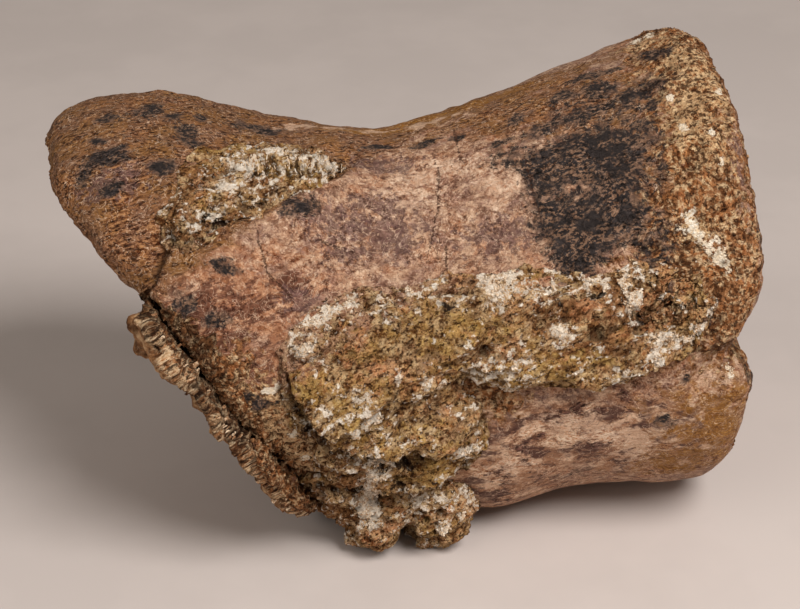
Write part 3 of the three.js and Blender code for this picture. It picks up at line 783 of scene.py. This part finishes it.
def crustShape(mesh, marks, seed):
    points = pointsOf(mesh)
    x, angle = spoolPlace(points)
    warp = 1.2 * fractal(points, 4.0, 3, seed)
    sway = 2.0 * fractal(points, 4.0, 3, seed + 1)
    layers = {name: marked(x + warp, angle + sway, spots) for name, spots in marks.items()}
    along = points[:, 0] * math.cos(bedTilt) + points[:, 2] * math.sin(bedTilt)
    across = points[:, 2] * math.cos(bedTilt) - points[:, 0] * math.sin(bedTilt)
    lain = np.stack([along / bedding["stretch"], points[:, 1], across], 1)
    beds = 2.4 * fractal(lain, 4.0, 3, seed + 3) / bedding["rise"]
    beds = bedding["rise"] * (np.floor(beds) + ramp(0.3, 0.7, beds - np.floor(beds)))
    crags = 0.22 - np.abs(fractal(lain, 2.2, 3, seed + 5))
    pits = hollows(points, 2.2, seed) * ramp(0.0, 0.35, fractal(points, 6.0, 2, seed + 2))
    pits = np.maximum(pits, ramp(0.45, 0.75, layers["black"]))
    clumps = 0.15 + 0.35 * crags + 0.35 * fractal(points, 6.0, 3, seed + 6)
    layers["white"] = np.maximum(layers["white"], clumps)
    rough = 1 - 0.75 * ramp(0.25, 0.65, marked(x + warp, angle + sway, calmSpots))
    pits *= rough
    relief = crustRelief
    craggy = relief["crags"] * crags + relief["fine"] * fractal(lain, 0.9, 3, seed + 4)
    height = relief["beds"] * beds + rough * craggy - relief["pits"] * pits
    height += relief["white"] * ramp(0.4, 0.7, layers["white"])
    # painted shade in the pits and in low places
    layers["hollow"] = np.maximum(0.8 * pits, 0.9 * ramp(-0.7, -1.7, height))
    return points, x + warp, angle + sway, height, layers


# Brings a crust down towards the bone where its share of the full height is small
def thinned(mesh, points, share):
    above, normals = aboveBone(points)
    moved(mesh, points - normals * (np.maximum(above - 0.1, 0) * (1 - share))[:, None])


def matrixCrustMesh():
    mesh = remeshed(["arch_matrix", "process_stump"], **matrixCrust)
    points, x, angle, height, layers = crustShape(mesh, crustMarks, 20)
    for ledge in ledges:
        away = lineDistance(x, angle, ledge["route"])
        # painted shade under each lip, where the surface is cut back
        under = ramp(-4.5, -1, away) * ramp(0.3, -0.6, away)
        height += ledge["high"] * (ramp(-0.6, 0.3, away) * ramp(ledge["reach"], 0, away) - under)
        layers["hollow"] = np.maximum(layers["hollow"], 0.5 * ledge["high"] * under)
    height -= 2.4 * ramp(0.4, 0.8, marked(x, angle, [lumpGap]))
    below = 2.5 * fractal(points, 6.0, 3, 29) - lineDistance(x, angle, crustTop)
    layers["skin"] = np.clip(1 - below / 9, 0, 1) * ramp(14, 4, x)
    thinned(mesh, points, ramp(-1, 11, below))
    layers["hollow"] *= (0.4 + 0.6 * ramp(1, 6, below)) * (1 - 0.5 * ramp(36, 42, x))
    raised(mesh, height * (0.5 + 0.5 * ramp(0, 7, below)))
    painted(mesh, **layers)
    return mesh


crustMesh = matrixCrustMesh()
placed("matrix_crust", crustMesh, matrixFinish, ["arch_matrix", "process_stump"])

# Pocket crust: pale matrix and calcite in the step beside the ear
pocketCrust = dict(voxel=0.3, swell=0.4, smoothing=2)
pocketBody = [(-40, 45), (-35, 58), (-28, 80), (-21, 84), (-9, 70), (-11, 64), (-20, 57), (-29, 50)]
needleRow = [(-25, 68), (-18, 68), (-10, 70)]
pocketMarks = dict(
    white=[(-13, 70, 2.6, 1.6), (-20, 74, 3, 1.6), (-34, 51, 1.2, 1.2), (-37, 48, 1.2, 1),
           (-27, 67, 2, 1.6), (-31, 60, 1.4, 1.4)],
    orange=[(-24, 82, 3, 1.4), (-34, 62, 2, 2)],
    yellow=[(-27, 78, 6, 3), (-20, 66, 5, 2)],
    brown=[(-31, 51, 5, 2), (-37, 46, 4, 3), (-24, 60, 4, 1.6)],
    # black: dark holes, painted near-black as their shade and also sunk as pits
    black=[(-25.5, 63, 1.2, 0.8), (-33, 48, 1.4, 0.7), (-24, 91, 3, 1.5)],
)


def pocketCrustMesh():
    mesh = remeshed(["pocket_matrix"], **pocketCrust)
    points, x, angle, height, layers = crustShape(mesh, pocketMarks, 30)
    body = fenced(x, angle, pocketBody, 12.0)
    earSide = ramp(2, 5, lineDistance(x, angle, stepEdge))
    layers["skin"] = (0.8 - body) * (1 - earSide)
    layers["brown"] = np.maximum(layers["brown"], (0.9 - body) * earSide)
    comb = fractal(points, 0.8, 2, 37, (1, 5, 5)) * ramp(5, 1.5, np.abs(lineDistance(x, angle, needleRow)))
    layers["white"] = np.maximum(layers["white"], np.minimum(0.38 * body + 0.5 * comb, 0.5))
    # painted shade in the low places between the needle ridges
    layers["hollow"] = np.maximum(layers["hollow"], ramp(-0.1, -0.5, comb))
    thinned(mesh, points, np.clip(0.1 + 0.9 * body, 0, 1))
    raised(mesh, 0.7 * height + 0.7 * comb)
    painted(mesh, **layers)
    return mesh


pocketMesh = pocketCrustMesh()
placed("pocket_crust", pocketMesh, matrixFinish, ["pocket_matrix"])


# Small things: copies of one plain shape, scattered over a surface and joined
def scattered(mesh, count, weight):
    points = pointsOf(mesh)
    normals = pointsOf(mesh, "normal")
    mesh.calc_loop_triangles()
    corners = np.zeros(len(mesh.loop_triangles) * 3, np.int32)
    mesh.loop_triangles.foreach_get("vertices", corners)
    corners = corners.reshape(-1, 3)
    sides = points[corners[:, 1:]] - points[corners[:, :1]]
    share = np.linalg.norm(np.cross(sides[:, 0], sides[:, 1]), axis=1) * weight[corners].mean(1)
    picked = corners[rng.choice(len(corners), count, p=share / share.sum())]
    mix = rng.dirichlet((1, 1, 1), count)
    spots = (points[picked] * mix[:, :, None]).sum(1)
    facing = (normals[picked] * mix[:, :, None]).sum(1)
    return spots, unit(facing), picked[:, 0]


def layerValues(mesh, name):
    values = np.zeros(len(mesh.vertices), np.float32)
    mesh.attributes[name].data.foreach_get("value", values)
    return values


def outward(mesh, least=0.25):
    points = pointsOf(mesh)
    outwards = points - np.array([0, spool["axisY"], spool["axisZ"]])
    outwards[:, 0] = 0
    return ((pointsOf(mesh, "normal") * unit(outwards)).sum(1) > least).astype(float)


def basisAlong(direction):
    direction = unit(direction)
    helper = np.where(np.abs(direction[:, 2:]) < 0.9, [[0.0, 0.0, 1.0]], [[1.0, 0.0, 0.0]])
    side = unit(np.cross(helper, direction))
    turn = rng.uniform(0, 2 * np.pi, (len(direction), 1))
    first = side * np.cos(turn) + np.cross(direction, side) * np.sin(turn)
    return np.stack([first, np.cross(direction, first), direction], 2)


def joinedCopies(template, places, bases, sizes, wobble, layers):
    verts = np.array([vert.co for vert in template.verts])
    faces = np.array([[vert.index for vert in face.verts] for face in template.faces])
    template.free()
    count = len(places)
    shapes = verts[None] * (1 + wobble * rng.normal(size=(count, len(verts), 1)))
    shapes = np.einsum("nij,nvj->nvi", bases, shapes * sizes[:, None, :]) + places[:, None, :]
    shapes[:, :, 2] = np.maximum(shapes[:, :, 2], floorGap)
    indices = faces[None] + len(verts) * np.arange(count)[:, None, None]
    mesh = bpy.data.meshes.new("copies")
    mesh.from_pydata((shapes * mm).reshape(-1, 3), [], indices.reshape(-1, faces.shape[1]).tolist())
    painted(mesh, **{name: np.repeat(values, len(verts)) for name, values in layers.items()})
    return mesh


def plainGrain():
    template = bmesh.new()
    bmesh.ops.create_icosphere(template, subdivisions=1, radius=1.0)
    template.verts.index_update()
    return template


def plainCrystal():
    template = bmesh.new()
    bmesh.ops.create_cube(template, size=2.0)
    bmesh.ops.scale(template, vec=(0.55, 0.55, 1), verts=[vert for vert in template.verts if vert.co.z > 0])
    template.verts.index_update()
    return template


# Grains take the paint of the surface under them
def strewn(mesh, weight, layerNames, count, size, wobble, sink):
    places, facing, under = scattered(mesh, count, weight)
    radius = size[0] + (size[1] - size[0]) * rng.random(count) ** 2
    sizes = radius[:, None] * rng.uniform(0.6, 1.3, (count, 3))
    bases = basisAlong(facing + 0.8 * rng.normal(size=(count, 3)))
    layers = {name: layerValues(mesh, name)[under] for name in layerNames}
    # grains keep a little of the painted shade of the surface under them
    layers["hollow"] = 0.4 * layers["hollow"]
    sunk = places - facing * (radius * sink)[:, None]
    return joinedCopies(plainGrain(), sunk, bases, sizes, wobble, layers)


def crystals(places, directions, width, length, wobble, tone):
    count = len(places)
    thick = rng.uniform(*width, (count, 1)) * rng.uniform(0.7, 1.3, (count, 2))
    sizes = np.hstack([thick, rng.uniform(*length, (count, 1))])
    layers = dict(tone=np.clip(rng.normal(*tone, count), 0, 1))
    return joinedCopies(plainCrystal(), places, basisAlong(directions), sizes, wobble, layers)


matrixLayers = ["skin", "white", "orange", "yellow", "brown", "black", "hollow"]
boneLayers = ["rust", "purple", "black", "spongy", "crack", "hollow", "ginger", "ochre", "fibre", "pale",
              "chalk", "white", "scorch"]
sandGrains = dict(count=2200, size=(0.1, 0.3), wobble=0.22, sink=0.4)
sandMesh = strewn(crustMesh, outward(crustMesh), matrixLayers, **sandGrains)
placed("sand_grains", sandMesh, matrixFinish, smooth=False)
pocketGrains = dict(count=600, size=(0.1, 0.32), wobble=0.22, sink=0.4)
pocketSand = strewn(pocketMesh, outward(pocketMesh), matrixLayers, **pocketGrains)
placed("pocket_grains", pocketSand, matrixFinish, smooth=False)
boneCrumbs = dict(count=6000, size=(0.12, 0.45), wobble=0.25, sink=0.45)
crumbly = ramp(0.45, 0.85, layerValues(boneMesh, "spongy"))
placed("bone_crumbs", strewn(boneMesh, crumbly, boneLayers, **boneCrumbs), boneFinish, smooth=False)

calciteBits = dict(width=(0.06, 0.2), length=(0.08, 0.34), wobble=0.25, tone=(0.55, 0.25))
whitened = ramp(0.4, 0.65, layerValues(crustMesh, "white")) * outward(crustMesh, 0.1)
places, facing = scattered(crustMesh, 1300, whitened)[:2]
lean = facing + 0.9 * rng.normal(size=facing.shape)
placed("calcite_bits", crystals(places, lean, **calciteBits), calciteFinish, smooth=False)

# Needles: upright calcite along the pocket's lower edge, and prisms across the break plate
pocketNeedles = dict(width=(0.06, 0.13), length=(0.3, 0.8), wobble=0.1, tone=(0.45, 0.3))
x, angle = spoolPlace(pointsOf(pocketMesh))
upright = ramp(3.2, 0.5, np.abs(lineDistance(x, angle, needleRow))) * outward(pocketMesh)
places, facing = scattered(pocketMesh, 70, upright)[:2]
lean = -np.cross([1.0, 0, 0], facing) + 0.5 * facing + 0.16 * rng.normal(size=facing.shape)
placed("pocket_needles", crystals(places, lean, **pocketNeedles), calciteFinish, smooth=False)

platePrisms = dict(width=(0.14, 0.34), length=(0.4, 1.1), wobble=0.1, tone=(0.5, 0.28))
inward = ramp(-0.3, 0.0, pointsOf(plateMesh, "normal")[:, 0])  # away from the plate's outer edge
places, facing = scattered(plateMesh, 220, outward(plateMesh, 0.45) * inward)[:2]
across = np.array([1.0, 0.116, 0.594]) + 0.12 * rng.normal(size=facing.shape)
prismMesh = crystals(places - 0.25 * facing, across, **platePrisms)
placed("plate_prisms", prismMesh, prismFinish, smooth=False)

# Rubble: crumbs of spongy bone that fill the lower end of the groove beside the plate
grooveRubble = dict(count=2000, size=(0.3, 1.1), spread=1.3)
grooveRoute = [(-43.5, 23), (-40, 15), (-37.5, 7.4), (-35, 0.4), (-31, -11.8), (-26.4, -26.9), (-22, -40),
               (-17, -52)]


def rubbleMesh(count, size, spread):
    step = (len(grooveRoute) - 1) * rng.random(count) ** 0.8  # denser towards the lower end
    stations = np.arange(len(grooveRoute))
    x = np.interp(step, stations, [place for place, turn in grooveRoute])
    x += spread * np.abs(rng.normal(size=count)) - 0.2
    angle = np.interp(step, stations, [turn for place, turn in grooveRoute])
    angle = np.radians(angle + 2 * np.abs(rng.normal(size=count)))
    outwards = np.stack([np.zeros(count), -np.cos(angle), np.sin(angle)], 1)
    far = np.stack([x, np.full(count, spool["axisY"]), np.full(count, spool["axisZ"])], 1) + 60 * outwards
    hits = []
    for start, way in zip(far.tolist(), (-outwards).tolist()):
        reached = [tree.ray_cast(start, way) for tree in (boneTree, plateTree)]
        hits.append(min((hit[3], tuple(hit[0])) if hit[0] else (1e3, None) for hit in reached)[1])
    found = np.array([hit is not None for hit in hits])
    places = np.array([hit for hit in hits if hit is not None])
    radius = rng.uniform(*size, len(places))
    sizes = radius[:, None] * rng.uniform(0.6, 1.3, (len(places), 3))
    layers = {name: np.zeros(len(places)) for name in boneLayers}
    layers["spongy"] += 0.9
    layers["crack"] += 9.0
    # a random darker tone for each crumb, and painted shade on crumbs in the upper part of the groove
    layers["hollow"] = rng.uniform(0, 0.35, len(places)) + ramp(3.2, 2.2, step[found]) * 0.4
    return joinedCopies(plainGrain(), places, basisAlong(outwards[found]), sizes, 0.25, layers)


placed("groove_rubble", rubbleMesh(**grooveRubble), boneFinish, smooth=False)

# Stage: pale table, soft light from the front right, and the camera of the photo
table = dict(size=6.0, colour=tint(206, 197, 193))
lamps = [
    dict(name="key", place=(0.19, -0.36, 0.53), size=0.3, watts=4.05, colour=(1.0, 0.953, 0.91)),
    dict(name="fill", place=(-0.7, -0.5, 0.7), size=0.8, watts=2.7, colour=(1.0, 0.94, 0.87)),
]
roomLight = dict(colour=(1.0, 0.89, 0.79), strength=0.225)
view = dict(aim=(1.95, -0.74, 38.0), azimuth=-9.0, elevation=30.0, distance=420.0, lens=100.17, sensor=36.0)


def setStage():
    top = bmesh.new()
    bmesh.ops.create_grid(top, x_segments=1, y_segments=1, size=table["size"] / 2)
    mesh = bpy.data.meshes.new("table_top")
    top.to_mesh(mesh)
    top.free()
    material, tree, shader, place = newMaterial("table top", 0.7)
    faint = noisy(tree, place, 0.02, 4.0)
    low = tuple(0.95 * part for part in table["colour"][:3]) + (1.0,)
    tree.links.new(ramped(tree, faint, [(0.3, low), (0.7, table["colour"])]), shader.inputs["Base Color"])
    mesh.materials.append(material)
    top = bpy.data.objects.new("table_top", mesh)
    bpy.context.scene.collection.objects.link(top)


def setLights():
    for lamp in lamps:
        light = bpy.data.lights.new(lamp["name"], "AREA")
        light.shape = "DISK"
        light.size = lamp["size"]
        light.energy = lamp["watts"]
        light.color = lamp["colour"]
        holder = bpy.data.objects.new(lamp["name"], light)
        holder.location = lamp["place"]
        holder.rotation_euler = (Vector((0, 0, 0.03)) - holder.location).to_track_quat("-Z", "Y").to_euler()
        bpy.context.scene.collection.objects.link(holder)
    room = bpy.data.worlds.new("room")
    room.use_nodes = True
    glow = room.node_tree.nodes["Background"]
    glow.inputs["Color"].default_value = (*roomLight["colour"], 1.0)
    glow.inputs["Strength"].default_value = roomLight["strength"]
    bpy.context.scene.world = room
    bpy.context.scene.view_settings.view_transform = "Standard"


def setCamera():
    turn, rise = math.radians(view["azimuth"]), math.radians(view["elevation"])
    back = Vector((math.sin(turn) * math.cos(rise), -math.cos(turn) * math.cos(rise), math.sin(rise)))
    camera = bpy.data.cameras.new("camera")
    camera.lens = view["lens"]
    camera.sensor_width = view["sensor"]
    camera.sensor_fit = "HORIZONTAL"
    camera.clip_start = 0.01
    holder = bpy.data.objects.new("camera", camera)
    holder.location = (Vector(view["aim"]) + back * view["distance"]) * mm
    holder.rotation_euler = (-back).to_track_quat("-Z", "Y").to_euler()
    bpy.context.scene.collection.objects.link(holder)
    bpy.context.scene.camera = holder


setStage()
setLights()
setCamera()
print("stage, lights and camera set")
